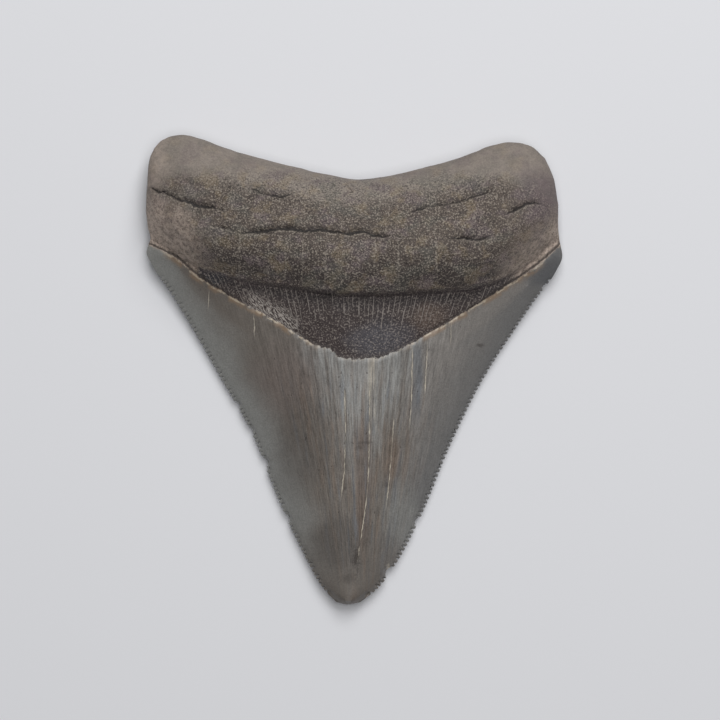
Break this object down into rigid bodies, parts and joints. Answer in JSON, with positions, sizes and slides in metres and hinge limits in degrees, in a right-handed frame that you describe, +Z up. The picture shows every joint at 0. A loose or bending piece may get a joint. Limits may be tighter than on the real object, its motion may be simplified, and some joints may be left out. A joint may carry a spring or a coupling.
{
  "type": "megalodon tooth",
  "caption": "Fossil megalodon tooth lying flat: broad triangular crown with serrated cutting edges, dark chevron neck band, and a thick cracked root with rounded lobes.",
  "frame": {"origin": "middle of the tooth's bounding box, on the surface that it lies on", "axes": "+Y from the tip of the crown to the root, +Z up out of the lingual face, +X to the right as seen from above"},
  "size_m": [0.0744, 0.0841, 0.017],
  "materials": {
    "tooth": "satin fossil enameloid crown, matt granular root"
  },
  "bodies": {
    "root": {"tooth": "tooth"}
  },
  "joints": []
}
